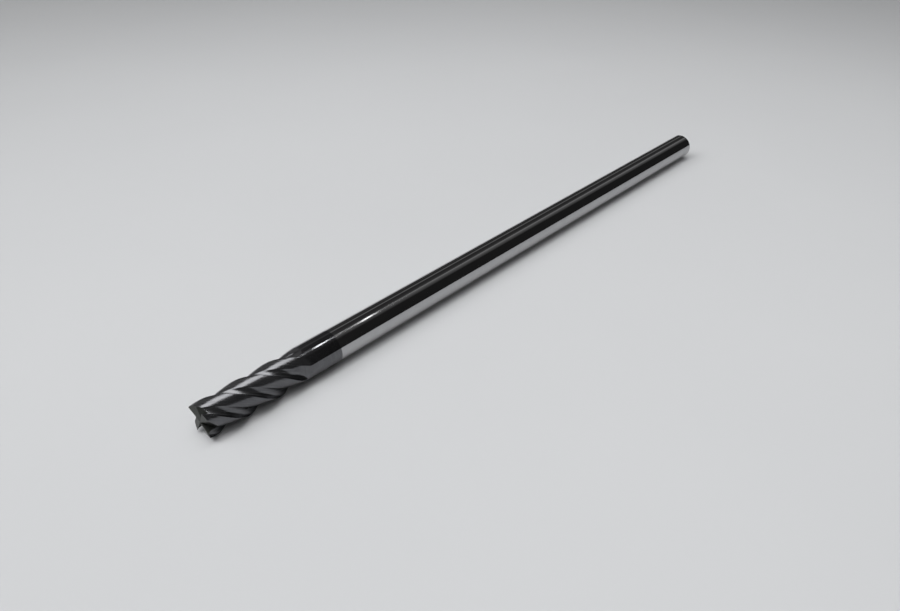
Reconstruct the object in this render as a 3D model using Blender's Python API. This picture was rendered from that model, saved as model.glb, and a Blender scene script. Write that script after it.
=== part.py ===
"""A solid carbide end mill: four right-hand helical flutes ground into one end of a round bar.

The tool lies along X on the plane Z = 0, with its cutting end at -X and the origin under its middle.
Its cross-section is worked out at one station after another along the axis and lofted: lands, heels,
curved flutes with their hooked faces, the run-out of the flutes, the shank and its chamfer. The teeth
of the end face are then cut, each with a gash in front of its edge and a relief behind it.
"""

from math import acos, atan2, ceil, cos, pi, radians, sin, sqrt, tan

import bmesh
import bpy
import numpy as np
from mathutils import Matrix

# The bar, in metres
OVERALL_LENGTH = 0.150
SHANK_DIAMETER = 0.006
SHANK_CHAMFER = 0.0003
COATED_LENGTH = 0.0255  # from the tip to the edge of the dark coating

# The fluted stretch
TEETH = 4
CUTTING_DIAMETER = 0.00596
HELIX_ANGLE = radians(38.0)
FLUTE_LENGTH = 0.0170  # from the tip to where the flutes start to rise out of the bar
FIRST_TOOTH_ANGLE = radians(29.0)  # at the tip, from +Y towards +Z

# The form of one flute, seen along the axis
CORE_DIAMETER = 0.00394
RAKE_ANGLE = radians(6.0)
FLOOR_RADIUS = 0.0009
BACK_RADIUS = 0.0030
RUNOUT_RADIUS = 0.0040  # the arc on which the whole form rises to the surface
RUNOUT_SKEW = 0.73  # how far the run-out leans along the axis for each length round it
BLEND_LENGTH = 0.0015  # from the end of the flutes to the full shank

# The land behind each cutting edge
MARGIN_WIDTH = 0.00036
MARGIN_RELIEF = radians(8.0)
LAND_RELIEF = radians(11.0)
LAND_CURVE = 0.0140  # the radius on which the land then bends down into the flute

# The teeth of the end face
END_DISH = radians(2.0)
END_RELIEF = radians(12.0)
GASH_ANGLE = radians(40.0)  # between the bottom of the gash and the end face
GASH_OPENING = radians(75.0)
GASH_STARTS = (0.0001, 0.0006)  # from the axis, on the long and the short teeth in turn
GASH_INTO_TOOTH = 0.00002
END_STOCK = 0.0002  # the bar's extra length that the end teeth are cut from

# How finely the form is drawn
MARGIN_STEPS = 2
LAND_STEPS = 9
FLUTE_STEPS = 13
STATION_TURN = radians(7.5)  # the turn of the helix from one station to the next
TIP_TURN = radians(3.0)  # the same, over the end teeth
TIP_LENGTH = 0.0012
RUNOUT_STEP = 0.0003
BLEND_STEPS = 5
FORM_SAMPLES = 300

COATING_COLOUR = (0.045, 0.046, 0.050)
COATING_ROUGHNESS = 0.30
CARBIDE_COLOUR = (0.40, 0.40, 0.41)
CARBIDE_ROUGHNESS = 0.12

TOOTH_PITCH = 2 * pi / TEETH
CUTTING_RADIUS = CUTTING_DIAMETER / 2
CORE_RADIUS = CORE_DIAMETER / 2
TURN_PER_LENGTH = tan(HELIX_ANGLE) / CUTTING_RADIUS
POINTS_PER_TOOTH = MARGIN_STEPS + LAND_STEPS + FLUTE_STEPS
SHANK_RADIUS = SHANK_DIAMETER / 2
CUTTER_SIZE = 2 * SHANK_DIAMETER


def clear_scene():
    for thing in list(bpy.data.objects):
        bpy.data.objects.remove(thing, do_unlink=True)


def new_collection(name, hidden=False):
    made = bpy.data.collections.new(name)
    bpy.context.scene.collection.children.link(made)
    made.hide_render = hidden
    return made


def new_metal(name, colour, roughness):
    made = bpy.data.materials.new(name)
    made.use_nodes = True
    shader = made.node_tree.nodes["Principled BSDF"]
    shader.inputs["Base Color"].default_value = (*colour, 1.0)
    shader.inputs["Metallic"].default_value = 1.0
    shader.inputs["Roughness"].default_value = roughness
    return made


def arc(centre, radius, start, turn):
    """Points on a circle from the angle start round by turn."""
    angles = start + turn * np.linspace(0.0, 1.0, FORM_SAMPLES)
    return np.stack([centre[0] + radius * np.cos(angles), centre[1] + radius * np.sin(angles)], axis=1)


def flute_form():
    """One flute at full depth, as angles behind a tooth's edge and radii, up to the next tooth's edge.

    The hooked face runs in from the cutting edge at the rake angle. The floor arc is tangent to that
    face and touches the core circle, and from there the back arc rises to meet the land.
    """
    edge = np.array([CUTTING_RADIUS, 0.0])
    inward = np.array([-cos(RAKE_ANGLE), sin(RAKE_ANGLE)])
    off_face = np.array([-sin(RAKE_ANGLE), -cos(RAKE_ANGLE)])
    beside_edge = edge + FLOOR_RADIUS * off_face
    along = beside_edge @ inward
    face_length = -along - sqrt(along**2 - beside_edge @ beside_edge + (CORE_RADIUS + FLOOR_RADIUS) ** 2)
    face = edge + np.linspace(0.0, face_length, FORM_SAMPLES)[:, None] * inward

    floor_centre = beside_edge + face_length * inward
    floor_angle = atan2(floor_centre[1], floor_centre[0])
    face_side = atan2(-off_face[1], -off_face[0])
    core_side = floor_angle + pi
    floor = arc(floor_centre, FLOOR_RADIUS, face_side, core_side - face_side)

    back_reach = CORE_RADIUS + BACK_RADIUS
    back_centre = back_reach * np.array([cos(floor_angle), sin(floor_angle)])
    back_turn = acos((back_reach**2 + BACK_RADIUS**2 - CUTTING_RADIUS**2) / (2 * back_reach * BACK_RADIUS))
    back = arc(back_centre, BACK_RADIUS, core_side, back_turn)

    form = np.concatenate([face, floor[1:], back[1:]])[::-1]
    return TOOTH_PITCH + np.arctan2(form[:, 1], form[:, 0]), np.hypot(form[:, 0], form[:, 1])


def flute_lift(behind, station):
    """How far the form has risen at a station and an angle behind the edge. It rises later at the edge."""
    lean = RUNOUT_SKEW * CUTTING_RADIUS * (behind - TOOTH_PITCH / 2)
    past = np.clip(station + lean - FLUTE_LENGTH, 0.0, RUNOUT_RADIUS)
    return RUNOUT_RADIUS - np.sqrt(RUNOUT_RADIUS**2 - past**2)


def land_radius(behind, station):
    """The land's surface at angles behind its cutting edge: a margin, then a steeper, bending relief."""
    arc_behind = np.maximum(behind, 0.0) * CUTTING_RADIUS
    past_margin = np.maximum(arc_behind - MARGIN_WIDTH, 0.0)
    margin = np.minimum(arc_behind, MARGIN_WIDTH) * tan(MARGIN_RELIEF)
    relief = margin + past_margin * tan(LAND_RELIEF) + past_margin**2 / (2 * LAND_CURVE)
    return CUTTING_RADIUS - np.maximum(relief - flute_lift(behind, station), 0.0)


def tooth_outline(form, station):
    """Angles and radii of one tooth and the flute behind it, or None where the flute has run out."""
    behind, radii = form
    radii = radii + flute_lift(behind, station)
    below_land = radii <= land_radius(behind, station)
    below_bar = radii <= CUTTING_RADIUS + 1e-12
    if not (below_land & below_bar).any():
        return None
    first = int(np.argmax(below_land))
    last = len(behind) - 1 - int(np.argmax(below_bar[::-1]))
    edge = behind[last] - TOOTH_PITCH
    heel = behind[first]

    margin_end = edge + MARGIN_WIDTH / CUTTING_RADIUS
    margin = np.linspace(edge, margin_end, MARGIN_STEPS + 1)
    land = np.linspace(margin_end, heel, LAND_STEPS + 1)[1:]
    on_land = np.concatenate([margin, land])

    x, y = radii * np.cos(behind), radii * np.sin(behind)
    run = np.concatenate([[0.0], np.cumsum(np.hypot(np.diff(x), np.diff(y)))])
    marks = np.linspace(run[first], run[last], FLUTE_STEPS + 1)[1:-1]
    in_flute = np.interp(marks, run, behind)
    return (
        np.concatenate([on_land, in_flute]),
        np.concatenate([land_radius(on_land, station), np.interp(marks, run, radii)]),
    )


def ring(station, angles, radii):
    """Points round the bar's axis at a distance station from the tip."""
    x = np.full(len(angles), station - OVERALL_LENGTH / 2)
    return np.stack([x, radii * np.cos(angles), SHANK_RADIUS + radii * np.sin(angles)], axis=1)


def even_stations(start, end, turn):
    """Stations from start up to but without end, no further apart than the given turn of the helix."""
    count = ceil((end - start) * TURN_PER_LENGTH / turn)
    return np.linspace(start, end, count, endpoint=False)


def fluted_rings():
    """The rings of the fluted stretch, from the tip to where the last trace of the flutes ends."""
    form = flute_form()
    stations = [
        *even_stations(-END_STOCK, TIP_LENGTH, TIP_TURN),
        *even_stations(TIP_LENGTH, FLUTE_LENGTH, STATION_TURN),
        FLUTE_LENGTH,
    ]
    rings = []
    while stations:
        station = stations.pop(0)
        outline = tooth_outline(form, station)
        turn = FIRST_TOOTH_ANGLE + station * TURN_PER_LENGTH
        starts = turn + TOOTH_PITCH * np.arange(TEETH)
        if outline is None:
            rings.append(ring(station, angles, np.full(len(angles), CUTTING_RADIUS)))
            return rings, station, angles
        angles = (starts[:, None] + outline[0]).ravel()
        rings.append(ring(station, angles, np.tile(outline[1], TEETH)))
        if not stations:
            stations.append(station + RUNOUT_STEP)


def shank_rings(run_out, angles):
    """The rings of the shank. Past the flutes its points spread out evenly, one of them at the underside."""
    count = TEETH * POINTS_PER_TOOTH
    spacing = 2 * pi / count
    shift = round((angles.mean() + pi / 2) / spacing - (count - 1) / 2)
    even = spacing * (shift + np.arange(count)) - pi / 2
    rings = []
    for share in np.linspace(0.0, 1.0, BLEND_STEPS + 1)[1:-1]:
        between = (1 - share) * angles + share * even
        radii = np.full(count, (1 - share) * CUTTING_RADIUS + share * SHANK_RADIUS)
        rings.append(ring(run_out + share * BLEND_LENGTH, between, radii))
    full = np.full(count, SHANK_RADIUS)
    return rings + [
        ring(run_out + BLEND_LENGTH, even, full),
        ring(COATED_LENGTH, even, full),
        ring(OVERALL_LENGTH - SHANK_CHAMFER, even, full),
        ring(OVERALL_LENGTH, even, full - SHANK_CHAMFER),
    ]


def loft(name, rings):
    """A closed mesh through rings of equal size, with a flat cap on the first and the last."""
    mesh_maker = bmesh.new()
    rows = [[mesh_maker.verts.new(point) for point in points] for points in rings]
    for here, there in zip(rows, rows[1:]):
        for j in range(len(here)):
            k = (j + 1) % len(here)
            mesh_maker.faces.new([here[j], here[k], there[k], there[j]])
    mesh_maker.faces.new(rows[0][::-1])
    mesh_maker.faces.new(rows[-1])
    sides = [face for face in mesh_maker.faces if len(face.verts) == 4]
    bmesh.ops.triangulate(mesh_maker, faces=sides, quad_method="SHORT_EDGE")
    mesh = bpy.data.meshes.new(name)
    mesh_maker.to_mesh(mesh)
    mesh_maker.free()
    return mesh


def tooth_frame(tooth):
    """Local X runs out along the tooth's end edge, local Y behind that edge and local Z into the bar."""
    angle = FIRST_TOOTH_ANGLE + tooth * TOOTH_PITCH
    return Matrix(
        (
            (0.0, 0.0, 1.0, -OVERALL_LENGTH / 2),
            (cos(angle), -sin(angle), 0.0, 0.0),
            (sin(angle), cos(angle), 0.0, SHANK_RADIUS),
            (0.0, 0.0, 0.0, 1.0),
        )
    )


def dish_depth(x):
    """How far the end edge lies behind the corner of the tooth, at a distance x from the axis."""
    return (CUTTING_RADIUS - x) * tan(END_DISH)


def end_relief_cutter(cutters):
    """A block over the whole end face. Its inner side is a pinwheel with one slope behind each end edge."""
    middle = dish_depth(0.0)
    fall = dish_depth(CUTTER_SIZE * cos(TOOTH_PITCH)) + CUTTER_SIZE * sin(TOOTH_PITCH) * tan(END_RELIEF)
    shape = bmesh.new()
    apex = shape.verts.new((0.0, 0.0, middle))
    edges, steps, lids = [], [], []
    for tooth in range(TEETH):
        x, y = CUTTER_SIZE * cos(tooth * TOOTH_PITCH), CUTTER_SIZE * sin(tooth * TOOTH_PITCH)
        edges.append(shape.verts.new((x, y, dish_depth(CUTTER_SIZE))))
        steps.append(shape.verts.new((x, y, fall)))
        lids.append(shape.verts.new((x, y, -CUTTER_SIZE)))
    for here in range(TEETH):
        after = (here + 1) % TEETH
        shape.faces.new([apex, edges[here], steps[after]])
        shape.faces.new([apex, steps[here], edges[here]])
        shape.faces.new([edges[here], lids[here], lids[after], edges[after], steps[after]])
    shape.faces.new(lids)
    return new_cutter("end_relief_cutter", shape, 0, cutters)


def gash_cutter(tooth, cutters):
    """A wedge that opens the end face in front of one tooth and sharpens the face of its end edge."""
    start = GASH_STARTS[tooth % len(GASH_STARTS)]
    bottom = np.array([start, GASH_INTO_TOOTH, dish_depth(start)])
    along = np.array([cos(GASH_ANGLE), 0.0, sin(GASH_ANGLE)])
    up_face = np.array([sin(GASH_ANGLE), 0.0, -cos(GASH_ANGLE)])
    up_slope = cos(GASH_OPENING) * up_face + sin(GASH_OPENING) * np.array([0.0, -1.0, 0.0])
    shape = bmesh.new()
    for reach in (-CUTTER_SIZE, CUTTER_SIZE):
        for rise in (0.0 * up_face, up_face, up_slope):
            shape.verts.new(bottom + reach * along + CUTTER_SIZE * rise)
    bmesh.ops.convex_hull(shape, input=shape.verts)
    return new_cutter(f"gash_cutter_{tooth + 1}", shape, tooth, cutters)


def new_cutter(name, shape, tooth, cutters):
    bmesh.ops.recalc_face_normals(shape, faces=shape.faces)
    mesh = bpy.data.meshes.new(name)
    shape.to_mesh(mesh)
    shape.free()
    cutter = bpy.data.objects.new(name, mesh)
    cutter.matrix_world = tooth_frame(tooth)
    cutter.hide_render = True
    cutter.display_type = "WIRE"
    cutters.objects.link(cutter)
    return cutter


def build_end_mill(parts, cutters):
    """The whole tool, which is one piece of carbide."""
    rings, run_out, angles = fluted_rings()
    mesh = loft("end_mill", rings + shank_rings(run_out, angles))
    mesh.materials.append(new_metal("dark_coating", COATING_COLOUR, COATING_ROUGHNESS))
    mesh.materials.append(new_metal("polished_carbide", CARBIDE_COLOUR, CARBIDE_ROUGHNESS))
    coating_edge = COATED_LENGTH - OVERALL_LENGTH / 2
    for face in mesh.polygons:
        face.material_index = int(face.center.x > coating_edge)
    mesh.shade_smooth()
    mesh.set_sharp_from_angle(angle=radians(30.0))
    end_mill = bpy.data.objects.new("end_mill", mesh)
    parts.objects.link(end_mill)

    for cutter in [end_relief_cutter(cutters), *(gash_cutter(tooth, cutters) for tooth in range(TEETH))]:
        cut = end_mill.modifiers.new(cutter.name, "BOOLEAN")
        cut.operation = "DIFFERENCE"
        cut.solver = "EXACT"
        cut.object = cutter


clear_scene()
build_end_mill(new_collection("carbide_end_mill"), new_collection("cutters", hidden=True))
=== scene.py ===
"""The looks of a solid carbide end mill that lies on a pale table under soft overhead lamps."""

from math import acos, atan2, cos, pi, radians, sin, sqrt, tan

import bmesh
import bpy
import numpy as np
from mathutils import Euler, Matrix, Vector


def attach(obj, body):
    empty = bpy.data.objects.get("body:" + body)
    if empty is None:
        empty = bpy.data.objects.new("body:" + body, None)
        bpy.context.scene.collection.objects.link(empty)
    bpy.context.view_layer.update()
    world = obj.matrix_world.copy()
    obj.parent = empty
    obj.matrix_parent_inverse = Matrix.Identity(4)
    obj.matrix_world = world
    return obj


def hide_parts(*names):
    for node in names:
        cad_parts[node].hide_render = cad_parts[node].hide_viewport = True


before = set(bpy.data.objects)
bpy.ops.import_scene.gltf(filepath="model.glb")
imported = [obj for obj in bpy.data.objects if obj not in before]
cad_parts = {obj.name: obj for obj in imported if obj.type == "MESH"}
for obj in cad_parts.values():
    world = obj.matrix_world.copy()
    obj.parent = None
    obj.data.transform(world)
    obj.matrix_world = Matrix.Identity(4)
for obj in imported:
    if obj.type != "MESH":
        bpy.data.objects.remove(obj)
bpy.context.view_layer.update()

# The bar, in metres
OVERALL_LENGTH = 0.150
SHANK_DIAMETER = 0.006
SHANK_CHAMFER = 0.0003
COATED_LENGTH = 0.0255

# The fluted stretch
TEETH = 4
CUTTING_DIAMETER = 0.00596
HELIX_ANGLE = radians(38.0)
FLUTE_LENGTH = 0.0170
FIRST_TOOTH_ANGLE = radians(29.0)

# The form of one flute
CORE_DIAMETER = 0.00394
RAKE_ANGLE = radians(6.0)
FLOOR_RADIUS = 0.0009
BACK_RADIUS = 0.0030
RUNOUT_RADIUS = 0.0040
RUNOUT_SKEW = 0.73
BLEND_LENGTH = 0.0015

# The land behind each cutting edge
MARGIN_WIDTH = 0.00036
MARGIN_RELIEF = radians(8.0)
LAND_RELIEF = radians(11.0)
LAND_CURVE = 0.0140

# The teeth of the end face
END_DISH = radians(2.0)
END_RELIEF = radians(12.0)
GASH_ANGLE = radians(40.0)
GASH_OPENING = radians(75.0)
GASH_STARTS = (0.0001, 0.0006)
GASH_INTO_TOOTH = 0.00002
END_STOCK = 0.0002

# How finely the form is drawn
MARGIN_SHARES = (0.0, 0.06, 0.2, 0.5, 1.0)
LAND_STEPS = 24
FLUTE_STEPS = 36
TIP_STEP = 0.00005
TIP_LENGTH = 0.0012
FLUTE_STEP = 0.0001
RUNOUT_STEP = 0.00006
BLEND_STEPS = 12
COATED_STEPS = 12
SHANK_STEPS = 60
FORM_SAMPLES = 800
SHARP_EDGE = radians(25.0)

TOOTH_PITCH = 2 * pi / TEETH
CUTTING_RADIUS = CUTTING_DIAMETER / 2
CORE_RADIUS = CORE_DIAMETER / 2
TURN_PER_LENGTH = tan(HELIX_ANGLE) / CUTTING_RADIUS
SHANK_RADIUS = SHANK_DIAMETER / 2
CUTTER_SIZE = 2 * SHANK_DIAMETER

# Colours: the coating and its grinding lines, the bare polish, the end faces darkened with painted shade for
# the dark they mirror, and the table
COATING = ((0.107, 0.108, 0.115), (0.137, 0.138, 0.145))
COATING_ON_LINES = (0.170, 0.170, 0.175)
POLISH = ((0.415, 0.415, 0.422), (0.458, 0.457, 0.461))
# Painted shade: the end faces are darkened for the dark that they mirror.
END_FACES_PAINTED_SHADE = (0.075, 0.078, 0.072)
TABLE = ((0.630, 0.639, 0.652), (0.650, 0.659, 0.671))

# Noise: how often it turns in a metre along each axis, its detail and its roughness
FLUTE_LINES = ((160, 3600, 3600), 6.0, 0.6)
SHANK_LINES = ((16000, 160, 160), 4.0, 0.6)
PATCHES = ((350, 350, 350), 4.0, 0.55)
RING_NOISE = ((600, 600, 600), 3.0, 0.5)
TABLE_CLOUDS = ((9, 9, 9), 4.0, 0.5)

# Which part of the noise makes the change: for most of it, for the coating's patches and for its lines
NOISE_RANGE = (0.3, 0.7)
PATCH_RANGE = (0.35, 0.65)
LINE_RANGE = (0.4, 0.75)

# How rough each surface is, from the least to the most that the lines or the patches give
FLUTE_ROUGHNESS = (0.18, 0.28)
COATED_ROUGHNESS = (0.065, 0.105)
POLISH_ROUGHNESS = (0.045, 0.085)
FLUTE_PATCHES = (-0.02, 0.02)
POLISH_PATCHES = (-0.01, 0.015)
END_ROUGHER = 0.22
TABLE_ROUGHNESS = 0.6
TABLE_SPECULAR = 0.2

# The coating: how metallic it is, how its ring wavers, how soft that is, and how the flutes' satin fades
COATING_METALLIC = 0.96
RING_WAVER = 0.00008
RING_EDGE = 0.00004
SATIN_FADE = 0.001

# The relief of the grinding lines, and how much of it the shank has
LINE_HEIGHT = 0.000030
LINE_STRENGTH = 0.5
SHANK_LINE_SHARE = 0.03

# The camera
CAMERA_PLACE = (-0.10825, -0.08176, 0.07827)
CAMERA_TURN = (radians(55.90), 0.0, radians(-47.41))
CAMERA_LENS = 28.8
CAMERA_SENSOR = 36.0
CAMERA_CLIP = 0.001

# The light of the room, where the shank mirrors it: the angle across the tool in degrees, and the light
ROOM_LINES = (
    (0.0, 0.030),
    (12.0, 0.035),
    (19.0, 0.100),
    (26.0, 0.033),
    (39.0, 0.036),
    (45.0, 0.300),
    (51.0, 0.036),
    (70.0, 0.040),
    (80.0, 0.070),
    (84.5, 0.100),
    (86.0, 0.330),
    (89.0, 0.330),
    (91.0, 0.200),
    (98.0, 0.150),
    (112.0, 0.060),
    (117.0, 0.019),
    (180.0, 0.019),
)
ROOM_TURN = (0.24, 0.51)
ROOM_END = (0.87, 0.93)
ROOM_PLAIN = 0.035

# The light of the walls elsewhere: at +Y, at -Y, and the angles between which it turns
WALL_FAR = 0.25
WALL_NEAR = 0.09
WALL_TURN = (50.0, 75.0)

# Lamps: name, place, aim, size along and across the tool, watts, and whether metal mirrors them
LAMPS = (
    ("overhead", (-0.32, -0.05, 1.30), (-0.32, -0.05, 0.0), (0.95, 0.86), 9.2, True),
    ("row", (0.33, 0.02, 1.30), (0.33, 0.02, 0.0), (0.35, 0.40), 1.6, True),
    ("spot_near", (0.610, -0.02, 1.30), (0.610, -0.02, 0.0), (0.018, 0.24), 0.27, True),
    ("spot_far", (0.748, -0.01, 1.30), (0.748, -0.01, 0.0), (0.022, 0.24), 0.085, True),
    ("ceiling", (-1.00, 0.55, 1.20), (0.0, 0.0, 0.0), (1.20, 1.00), 12.6, False),
    ("side", (-0.20, -1.00, 1.30), (-0.20, -1.00, 0.0), (1.60, 0.80), 2.6, False),
)

# The table: a painted pool of light, palest round the tool and darker outwards from the middle, in metres
TABLE_SIZE = 6.0
POOL_OF_LIGHT_REACH = (0.05, 0.42)
PAINTED_OUTER_SHADE = 0.60


def arc(centre, radius, start, turn):
    """Points on a circle: centre plus radius times (cosine, sine) of angles from start, over turn."""
    angles = start + turn * np.linspace(0.0, 1.0, FORM_SAMPLES)
    return np.stack([centre[0] + radius * np.cos(angles), centre[1] + radius * np.sin(angles)], axis=1)


def flute_form():
    """One flute as angles behind a tooth's edge and radii, up to the next tooth's edge.

    It is a straight hooked face, then a small floor arc tangent to that face and to the core circle,
    then a back arc from the core circle up to the land.
    """
    edge = np.array([CUTTING_RADIUS, 0.0])
    inward = np.array([-cos(RAKE_ANGLE), sin(RAKE_ANGLE)])
    off_face = np.array([-sin(RAKE_ANGLE), -cos(RAKE_ANGLE)])
    beside_edge = edge + FLOOR_RADIUS * off_face
    along = beside_edge @ inward
    face_length = -along - sqrt(along**2 - beside_edge @ beside_edge + (CORE_RADIUS + FLOOR_RADIUS) ** 2)
    face = edge + np.linspace(0.0, face_length, FORM_SAMPLES)[:, None] * inward

    floor_centre = beside_edge + face_length * inward
    floor_angle = atan2(floor_centre[1], floor_centre[0])
    face_side = atan2(-off_face[1], -off_face[0])
    core_side = floor_angle + pi
    floor = arc(floor_centre, FLOOR_RADIUS, face_side, core_side - face_side)

    back_reach = CORE_RADIUS + BACK_RADIUS
    back_centre = back_reach * np.array([cos(floor_angle), sin(floor_angle)])
    back_turn = acos((back_reach**2 + BACK_RADIUS**2 - CUTTING_RADIUS**2) / (2 * back_reach * BACK_RADIUS))
    back = arc(back_centre, BACK_RADIUS, core_side, back_turn)

    form = np.concatenate([face, floor[1:], back[1:]])[::-1]
    return TOOTH_PITCH + np.arctan2(form[:, 1], form[:, 0]), np.hypot(form[:, 0], form[:, 1])


def flute_lift(behind, station):
    """The height of a circle of the run-out radius above its lowest point, which lies later at the edge."""
    lean = RUNOUT_SKEW * CUTTING_RADIUS * (behind - TOOTH_PITCH / 2)
    past = np.clip(station + lean - FLUTE_LENGTH, 0.0, RUNOUT_RADIUS)
    return RUNOUT_RADIUS - np.sqrt(RUNOUT_RADIUS**2 - past**2)


def land_radius(behind, station):
    """The cutting radius less the relief: the margin's slope, then the land's slope and its bend down."""
    arc_behind = np.maximum(behind, 0.0) * CUTTING_RADIUS
    past_margin = np.maximum(arc_behind - MARGIN_WIDTH, 0.0)
    margin = np.minimum(arc_behind, MARGIN_WIDTH) * tan(MARGIN_RELIEF)
    relief = margin + past_margin * tan(LAND_RELIEF) + past_margin**2 / (2 * LAND_CURVE)
    return CUTTING_RADIUS - np.maximum(relief - flute_lift(behind, station), 0.0)


def tooth_outline(form, station):
    """Angles and radii of one tooth and the flute behind it, or None where the flute has run out."""
    behind, radii = form
    radii = radii + flute_lift(behind, station)
    below_land = radii <= land_radius(behind, station)
    below_bar = radii <= CUTTING_RADIUS + 1e-12
    if not (below_land & below_bar).any():
        return None
    first = int(np.argmax(below_land))
    last = len(behind) - 1 - int(np.argmax(below_bar[::-1]))
    edge = behind[last] - TOOTH_PITCH
    heel = behind[first]

    margin = edge + np.array(MARGIN_SHARES) * MARGIN_WIDTH / CUTTING_RADIUS
    land = np.linspace(margin[-1], heel, LAND_STEPS + 1)[1:]
    on_land = np.concatenate([margin, land])

    x, y = radii * np.cos(behind), radii * np.sin(behind)
    run = np.concatenate([[0.0], np.cumsum(np.hypot(np.diff(x), np.diff(y)))])
    marks = np.linspace(run[first], run[last], FLUTE_STEPS + 1)[1:-1]
    in_flute = np.interp(marks, run, behind)
    return (
        np.concatenate([on_land, in_flute]),
        np.concatenate([land_radius(on_land, station), np.interp(marks, run, radii)]),
    )


def fluted_sections():
    """Stations, angles and radii from before the tip to where the flutes have run out."""
    form = flute_form()
    stations = [
        *np.arange(-END_STOCK, TIP_LENGTH, TIP_STEP),
        *np.arange(TIP_LENGTH, FLUTE_LENGTH, FLUTE_STEP),
        *np.arange(FLUTE_LENGTH, COATED_LENGTH, RUNOUT_STEP),
    ]
    kept, angles, radii = [], [], []
    for station in stations:
        outline = tooth_outline(form, station)
        if outline is None:
            break
        starts = FIRST_TOOTH_ANGLE + station * TURN_PER_LENGTH + TOOTH_PITCH * np.arange(TEETH)
        kept.append(station)
        angles.append((starts[:, None] + outline[0]).ravel())
        radii.append(np.tile(outline[1], TEETH))
    return np.array(kept), np.array(angles), np.array(radii)


def shank_sections(run_out, angles):
    """The same for the shank: the points spread out evenly, and the radius rises to the full shank."""
    count = len(angles)
    spacing = 2 * pi / count
    shift = round((angles.mean() + pi / 2) / spacing - (count - 1) / 2)
    even = spacing * (shift + np.arange(count)) - pi / 2
    share = np.linspace(0.0, 1.0, BLEND_STEPS + 1)
    blend = run_out + RUNOUT_STEP + share * BLEND_LENGTH
    turned = (1 - share)[:, None] * angles + share[:, None] * even
    rise = (1 - share) * CUTTING_RADIUS + share * SHANK_RADIUS
    plain = np.concatenate(
        [
            np.linspace(blend[-1], COATED_LENGTH, COATED_STEPS)[1:],
            np.linspace(COATED_LENGTH, OVERALL_LENGTH - SHANK_CHAMFER, SHANK_STEPS)[1:],
            [OVERALL_LENGTH],
        ]
    )
    full = np.full(len(plain), SHANK_RADIUS)
    full[-1] -= SHANK_CHAMFER
    stations = np.concatenate([blend, plain])
    angles = np.concatenate([turned, np.tile(even, (len(plain), 1))])
    radii = np.repeat(np.concatenate([rise, full])[:, None], count, axis=1)
    return stations, angles, radii


def closed_tube(name, stations, angles, radii):
    """A mesh through sections at stations along X: Y and Z are the radius times cosine and sine."""
    x = np.repeat(stations[:, None] - OVERALL_LENGTH / 2, angles.shape[1], axis=1)
    points = np.stack([x, radii * np.cos(angles), SHANK_RADIUS + radii * np.sin(angles)], axis=2)
    rows, count = angles.shape
    index = np.arange(rows * count).reshape(rows, count)
    here, after = index[:-1], np.roll(index, -1, axis=1)[:-1]
    above, above_after = index[1:], np.roll(index, -1, axis=1)[1:]
    quads = np.stack([here, after, above_after, above], axis=2).reshape(-1, 4)
    mesh = bpy.data.meshes.new(name)
    mesh.from_pydata(
        points.reshape(-1, 3).tolist(), [], [*quads.tolist(), index[0, ::-1].tolist(), index[-1].tolist()]
    )
    return mesh


def tooth_frame(tooth):
    """Local X runs out along the tooth's end edge, local Y behind that edge and local Z into the bar."""
    angle = FIRST_TOOTH_ANGLE + tooth * TOOTH_PITCH
    return Matrix(
        (
            (0.0, 0.0, 1.0, -OVERALL_LENGTH / 2),
            (cos(angle), -sin(angle), 0.0, 0.0),
            (sin(angle), cos(angle), 0.0, SHANK_RADIUS),
            (0.0, 0.0, 0.0, 1.0),
        )
    )


def dish_depth(x):
    """How far the end edge lies behind the corner of the tooth, at a distance x from the axis."""
    return (CUTTING_RADIUS - x) * tan(END_DISH)


def add_two_slots(mesh):
    """Two empty material slots, so that a cut keeps the number of the slot that each face had."""
    mesh.materials.append(None)
    mesh.materials.append(None)


def new_cutter(name, shape, tooth):
    """An object from a closed shape in one tooth's frame, with all its faces in the second slot."""
    bmesh.ops.recalc_face_normals(shape, faces=shape.faces)
    mesh = bpy.data.meshes.new(name)
    shape.to_mesh(mesh)
    shape.free()
    add_two_slots(mesh)
    mesh.polygons.foreach_set("material_index", np.ones(len(mesh.polygons), np.int32))
    cutter = bpy.data.objects.new(name, mesh)
    cutter.matrix_world = tooth_frame(tooth)
    bpy.context.scene.collection.objects.link(cutter)
    return cutter


def end_relief_cutter():
    """A block over the whole end face. Its inner side is a pinwheel with one slope behind each end edge."""
    middle = dish_depth(0.0)
    fall = dish_depth(CUTTER_SIZE * cos(TOOTH_PITCH)) + CUTTER_SIZE * sin(TOOTH_PITCH) * tan(END_RELIEF)
    shape = bmesh.new()
    apex = shape.verts.new((0.0, 0.0, middle))
    edges, steps, lids = [], [], []
    for tooth in range(TEETH):
        x, y = CUTTER_SIZE * cos(tooth * TOOTH_PITCH), CUTTER_SIZE * sin(tooth * TOOTH_PITCH)
        edges.append(shape.verts.new((x, y, dish_depth(CUTTER_SIZE))))
        steps.append(shape.verts.new((x, y, fall)))
        lids.append(shape.verts.new((x, y, -CUTTER_SIZE)))
    for here in range(TEETH):
        after = (here + 1) % TEETH
        shape.faces.new([apex, edges[here], steps[after]])
        shape.faces.new([apex, steps[here], edges[here]])
        shape.faces.new([edges[here], lids[here], lids[after], edges[after], steps[after]])
    shape.faces.new(lids)
    return new_cutter("end_relief_cutter", shape, 0)


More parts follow.
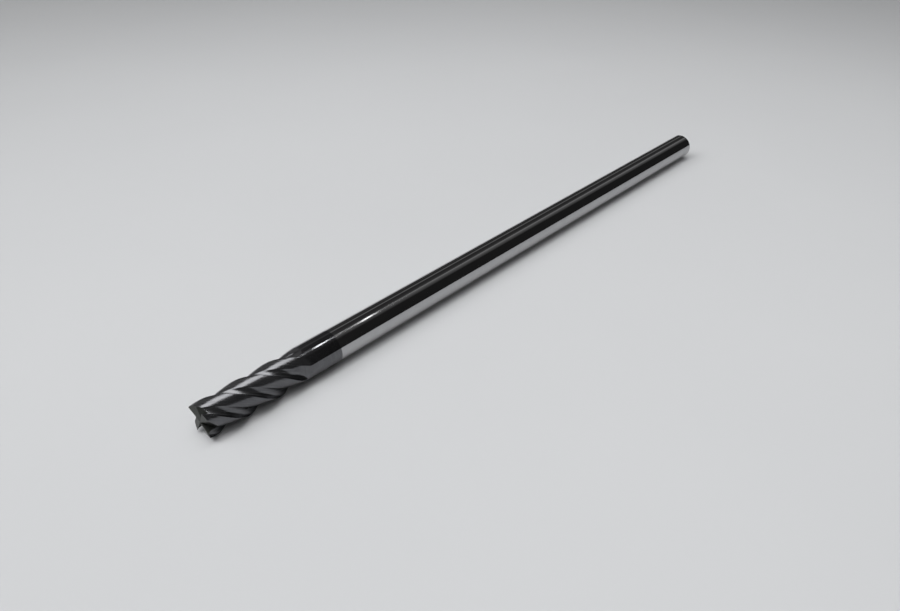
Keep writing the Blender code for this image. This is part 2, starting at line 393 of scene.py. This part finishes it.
def gash_cutter(tooth):
    """A wedge that opens the end face in front of one tooth and sharpens the face of its end edge."""
    start = GASH_STARTS[tooth % len(GASH_STARTS)]
    bottom = np.array([start, GASH_INTO_TOOTH, dish_depth(start)])
    along = np.array([cos(GASH_ANGLE), 0.0, sin(GASH_ANGLE)])
    up_face = np.array([sin(GASH_ANGLE), 0.0, -cos(GASH_ANGLE)])
    up_slope = cos(GASH_OPENING) * up_face + sin(GASH_OPENING) * np.array([0.0, -1.0, 0.0])
    shape = bmesh.new()
    for reach in (-CUTTER_SIZE, CUTTER_SIZE):
        for rise in (0.0 * up_face, up_face, up_slope):
            shape.verts.new(bottom + reach * along + CUTTER_SIZE * rise)
    bmesh.ops.convex_hull(shape, input=shape.verts)
    return new_cutter(f"gash_cutter_{tooth + 1}", shape, tooth)


def cut_end_teeth(mesh):
    """The mesh less the end relief and the four gashes, whose faces get the second material slot."""
    add_two_slots(mesh)
    blank = bpy.data.objects.new("blank", mesh)
    bpy.context.scene.collection.objects.link(blank)
    cutters = [end_relief_cutter(), *(gash_cutter(tooth) for tooth in range(TEETH))]
    for cutter in cutters:
        cut = blank.modifiers.new(cutter.name, "BOOLEAN")
        cut.operation = "DIFFERENCE"
        cut.solver = "EXACT"
        cut.object = cutter
    graph = bpy.context.evaluated_depsgraph_get()
    done = bpy.data.meshes.new_from_object(blank.evaluated_get(graph))
    for helper in [blank, *cutters]:
        bpy.data.objects.remove(helper)
    return done


def add_end_mask(mesh):
    """A value on each face: one where a cutter made it, as its material slot says, and zero elsewhere."""
    slots = np.empty(len(mesh.polygons), np.int32)
    mesh.polygons.foreach_get("material_index", slots)
    attribute = mesh.attributes.new("end_mask", "FLOAT", "FACE")
    attribute.data.foreach_set("value", slots.astype(np.float32))
    mesh.polygons.foreach_set("material_index", np.zeros_like(slots))


def add_flute_way(mesh):
    """A vector on each point: the station along the bar, and Y and Z turned back by the helix there."""
    points = np.empty(len(mesh.vertices) * 3, np.float32)
    mesh.vertices.foreach_get("co", points)
    x, y, z = points.reshape(-1, 3).T.astype(float)
    station = x + OVERALL_LENGTH / 2
    turn = station * TURN_PER_LENGTH
    z = z - SHANK_RADIUS
    back_y = y * np.cos(turn) + z * np.sin(turn)
    back_z = z * np.cos(turn) - y * np.sin(turn)
    way = np.stack([station, back_y, back_z], axis=1)
    attribute = mesh.attributes.new("flute_way", "FLOAT_VECTOR", "POINT")
    attribute.data.foreach_set("vector", way.astype(np.float32).ravel())


class Nodes:
    """Short calls that add shader nodes to one material or world and join them."""

    def __init__(self, owner, shader="Principled BSDF"):
        owner.use_nodes = True
        self.tree = owner.node_tree
        self.shader = self.tree.nodes[shader]

    def join(self, source, target):
        """A link from an output to an input."""
        self.tree.links.new(source, target)

    def node(self, kind, **settings):
        """A new node of one kind with its settings."""
        made = self.tree.nodes.new(kind)
        for key, value in settings.items():
            setattr(made, key, value)
        return made

    def noise(self, source, scale, detail, roughness):
        """Noise over a place that is scaled along each axis first."""
        stretched = self.node("ShaderNodeMapping")
        stretched.inputs["Scale"].default_value = scale
        self.join(source, stretched.inputs["Vector"])
        made = self.node("ShaderNodeTexNoise")
        made.inputs["Scale"].default_value = 1.0
        made.inputs["Detail"].default_value = detail
        made.inputs["Roughness"].default_value = roughness
        self.join(stretched.outputs["Vector"], made.inputs["Vector"])
        return made.outputs["Fac"]

    def spread(self, source, low, high, to_low, to_high, smooth=False):
        """A value between low and high, spread between two others on a line or a smooth step."""
        made = self.node("ShaderNodeMapRange", interpolation_type="SMOOTHSTEP" if smooth else "LINEAR")
        for key, value in zip(("From Min", "From Max", "To Min", "To Max"), (low, high, to_low, to_high)):
            made.inputs[key].default_value = value
        self.join(source, made.inputs["Value"])
        return made.outputs["Result"]

    def math(self, operation, first, second):
        """One operation on two values, each of them an output or a number."""
        made = self.node("ShaderNodeMath", operation=operation)
        for value, socket in zip((first, second), made.inputs):
            if isinstance(value, float):
                socket.default_value = value
            else:
                self.join(value, socket)
        return made.outputs["Value"]

    def blend(self, factor, first, second):
        """A colour between two others, each of them an output or a colour."""
        made = self.node("ShaderNodeMix", data_type="RGBA")
        self.join(factor, made.inputs["Factor"])
        for value, socket in ((first, made.inputs[6]), (second, made.inputs[7])):
            if isinstance(value, tuple):
                socket.default_value = (*value, 1.0)
            else:
                self.join(value, socket)
        return made.outputs[2]

    def blend_value(self, factor, first, second):
        """A value between those of two outputs."""
        made = self.node("ShaderNodeMix", data_type="FLOAT")
        self.join(factor, made.inputs["Factor"])
        self.join(first, made.inputs[2])
        self.join(second, made.inputs[3])
        return made.outputs[0]


def ground_carbide():
    """Polished bare carbide and, over the cutting end, a dark coating, both with grinding lines."""
    material = bpy.data.materials.new("ground_carbide")
    nodes = Nodes(material)
    place = nodes.node("ShaderNodeTexCoord").outputs["Object"]
    way = nodes.node("ShaderNodeAttribute", attribute_name="flute_way").outputs["Vector"]

    # The coating ends in a ring that wavers by a few hundredths of a millimetre.
    along = nodes.node("ShaderNodeSeparateXYZ")
    nodes.join(place, along.inputs["Vector"])
    waver = nodes.spread(nodes.noise(place, *RING_NOISE), 0.0, 1.0, -RING_WAVER, RING_WAVER)
    station = nodes.math("ADD", along.outputs["X"], waver)
    ring = COATED_LENGTH - OVERALL_LENGTH / 2
    bare = nodes.spread(station, ring - RING_EDGE, ring + RING_EDGE, 0.0, 1.0, smooth=True)
    fluted_end = FLUTE_LENGTH - OVERALL_LENGTH / 2
    on_shank = nodes.spread(along.outputs["X"], fluted_end, fluted_end + SATIN_FADE, 0.0, 1.0, smooth=True)

    # Lines along the flutes, and rings round the shank from centreless grinding and polishing.
    lines = nodes.blend_value(on_shank, nodes.noise(way, *FLUTE_LINES), nodes.noise(place, *SHANK_LINES))
    patches = nodes.noise(place, *PATCHES)

    end = nodes.node("ShaderNodeAttribute", attribute_name="end_mask").outputs["Fac"]
    coating = nodes.blend(nodes.spread(patches, *PATCH_RANGE, 0.0, 1.0), *COATING)
    coating = nodes.blend(nodes.spread(lines, *LINE_RANGE, 0.0, 1.0), coating, COATING_ON_LINES)
    # The end faces get a darker colour of their own: painted shade for the dark that they mirror.
    coating = nodes.blend(end, coating, END_FACES_PAINTED_SHADE)
    polish = nodes.blend(nodes.spread(patches, *NOISE_RANGE, 0.0, 1.0), *POLISH)
    nodes.join(nodes.blend(bare, coating, polish), nodes.shader.inputs["Base Color"])

    # The coating scatters a little light as well, which the bare metal doesn't.
    nodes.join(nodes.spread(bare, 0.0, 1.0, COATING_METALLIC, 1.0), nodes.shader.inputs["Metallic"])

    # The flutes are satin, the coated shank is smoother, and the bare shank is polished.
    flutes = nodes.math(
        "ADD",
        nodes.spread(lines, *NOISE_RANGE, *FLUTE_ROUGHNESS),
        nodes.spread(patches, *NOISE_RANGE, *FLUTE_PATCHES),
    )
    coated = nodes.blend_value(on_shank, flutes, nodes.spread(lines, *NOISE_RANGE, *COATED_ROUGHNESS))
    polished = nodes.math(
        "ADD",
        nodes.spread(lines, *NOISE_RANGE, *POLISH_ROUGHNESS),
        nodes.spread(patches, *NOISE_RANGE, *POLISH_PATCHES),
    )
    roughness = nodes.blend_value(bare, coated, polished)
    rougher_end = nodes.math("MULTIPLY", end, END_ROUGHER)
    nodes.join(nodes.math("ADD", roughness, rougher_end), nodes.shader.inputs["Roughness"])

    bump = nodes.node("ShaderNodeBump")
    bump.inputs["Strength"].default_value = LINE_STRENGTH
    bump.inputs["Distance"].default_value = LINE_HEIGHT
    share = nodes.spread(on_shank, 0.0, 1.0, 1.0, SHANK_LINE_SHARE)
    nodes.join(nodes.math("MULTIPLY", lines, share), bump.inputs["Height"])
    nodes.join(bump.outputs["Normal"], nodes.shader.inputs["Normal"])
    return material


def ground_end_mill():
    """The whole tool: a tube through all the sections, less what the end teeth leave out."""
    stations, angles, radii = fluted_sections()
    shank = shank_sections(stations[-1], angles[-1])
    sections = [np.concatenate(pair) for pair in zip((stations, angles, radii), shank)]
    mesh = cut_end_teeth(closed_tube("end_mill_ground", *sections))
    mesh.name = "end_mill_ground"
    add_flute_way(mesh)
    add_end_mask(mesh)
    mesh.shade_smooth()
    mesh.set_sharp_from_angle(angle=SHARP_EDGE)
    mesh.materials.clear()
    mesh.materials.append(ground_carbide())
    tool = bpy.data.objects.new("end_mill_ground", mesh)
    bpy.context.scene.collection.objects.link(tool)
    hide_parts("end_mill")
    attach(tool, "root")


def table_top():
    """A flat pale sheet under the tool, with a painted pool of light: darker by a smooth step of the
    distance from its middle.
    """
    half = TABLE_SIZE / 2
    mesh = bpy.data.meshes.new("table_top")
    corners = [(-half, -half, 0.0), (half, -half, 0.0), (half, half, 0.0), (-half, half, 0.0)]
    mesh.from_pydata(corners, [], [(0, 1, 2, 3)])
    material = bpy.data.materials.new("pale_table")
    nodes = Nodes(material)
    place = nodes.node("ShaderNodeTexCoord").outputs["Object"]
    clouds = nodes.noise(place, *TABLE_CLOUDS)
    tint = nodes.blend(nodes.spread(clouds, *NOISE_RANGE, 0.0, 1.0), *TABLE)
    # Painted light: the colour is darker by the distance from the middle, a painted pool of light round the
    # tool.
    distance = nodes.node("ShaderNodeVectorMath", operation="LENGTH")
    nodes.join(place, distance.inputs[0])
    light = nodes.spread(distance.outputs["Value"], *POOL_OF_LIGHT_REACH, 1.0, PAINTED_OUTER_SHADE, smooth=True)
    shaded = nodes.node("ShaderNodeVectorMath", operation="SCALE")
    nodes.join(tint, shaded.inputs[0])
    nodes.join(light, shaded.inputs["Scale"])
    nodes.join(shaded.outputs["Vector"], nodes.shader.inputs["Base Color"])
    nodes.shader.inputs["Roughness"].default_value = TABLE_ROUGHNESS
    nodes.shader.inputs["Specular IOR Level"].default_value = TABLE_SPECULAR
    mesh.materials.append(material)
    table = bpy.data.objects.new("table_top", mesh)
    bpy.context.scene.collection.objects.link(table)


def lamp(name, place, aim, size, power, mirrored):
    """A rectangular lamp at place that shines towards aim."""
    light = bpy.data.lights.new(name, "AREA")
    light.shape = "RECTANGLE"
    light.size, light.size_y = size
    light.energy = power
    obj = bpy.data.objects.new(name, light)
    obj.location = place
    obj.rotation_euler = (Vector(aim) - Vector(place)).to_track_quat("-Z", "Y").to_euler()
    obj.visible_glossy = mirrored
    bpy.context.scene.collection.objects.link(obj)


def room():
    """The room that the metal mirrors: lit walls at one side, and a dim ceiling with a few pale lines in it.

    ROOM_LINES gives the light against the angle across the tool, from the horizon at +Y over the top to
    the one at -Y. It holds in the directions that the shank mirrors, where X is above ROOM_TURN, and
    turns to one plain light towards the end of the room, from ROOM_END.
    """
    world = bpy.data.worlds.new("room")
    bpy.context.scene.world = world
    nodes = Nodes(world, "Background")
    way = nodes.node("ShaderNodeSeparateXYZ")
    nodes.join(nodes.node("ShaderNodeTexCoord").outputs["Generated"], way.inputs["Vector"])
    height = nodes.math("ABSOLUTE", way.outputs["Z"], 0.0)
    across = nodes.math("ARCTAN2", height, way.outputs["Y"])
    lines = nodes.node("ShaderNodeFloatCurve")
    curve = lines.mapping.curves[0]
    for angle, light in ROOM_LINES[1:-1]:
        curve.points.new(angle / 180.0, light)
    for point, (angle, light) in zip((curve.points[0], curve.points[-1]), (ROOM_LINES[0], ROOM_LINES[-1])):
        point.location = (angle / 180.0, light)
    for point in curve.points:
        point.handle_type = "VECTOR"
    lines.mapping.update()
    nodes.join(nodes.math("DIVIDE", across, pi), lines.inputs["Value"])
    behind = nodes.spread(way.outputs["X"], *ROOM_TURN, 1.0, 0.0, smooth=True)
    far = nodes.spread(way.outputs["X"], *ROOM_END, 0.0, 1.0, smooth=True)
    middle = nodes.math("SUBTRACT", nodes.math("SUBTRACT", 1.0, behind), far)

    turn = [radians(angle) for angle in WALL_TURN]
    walls = nodes.math("MULTIPLY", behind, nodes.spread(across, *turn, WALL_FAR, WALL_NEAR, smooth=True))
    pale_lines = nodes.math("MULTIPLY", middle, lines.outputs["Value"])
    plain = nodes.math("MULTIPLY", far, ROOM_PLAIN)
    nodes.join(nodes.math("ADD", walls, nodes.math("ADD", pale_lines, plain)), nodes.shader.inputs["Color"])


def camera():
    """The camera that looks down along the tool from its cutting end."""
    data = bpy.data.cameras.new("camera")
    data.lens = CAMERA_LENS
    data.sensor_width = CAMERA_SENSOR
    data.clip_start = CAMERA_CLIP
    obj = bpy.data.objects.new("camera", data)
    obj.location = CAMERA_PLACE
    obj.rotation_euler = Euler(CAMERA_TURN)
    bpy.context.scene.collection.objects.link(obj)
    bpy.context.scene.camera = obj


camera()
ground_end_mill()
table_top()
room()
for lamp_values in LAMPS:
    lamp(*lamp_values)

bpy.context.scene.view_settings.view_transform = "Standard"
bpy.context.view_layer.update()
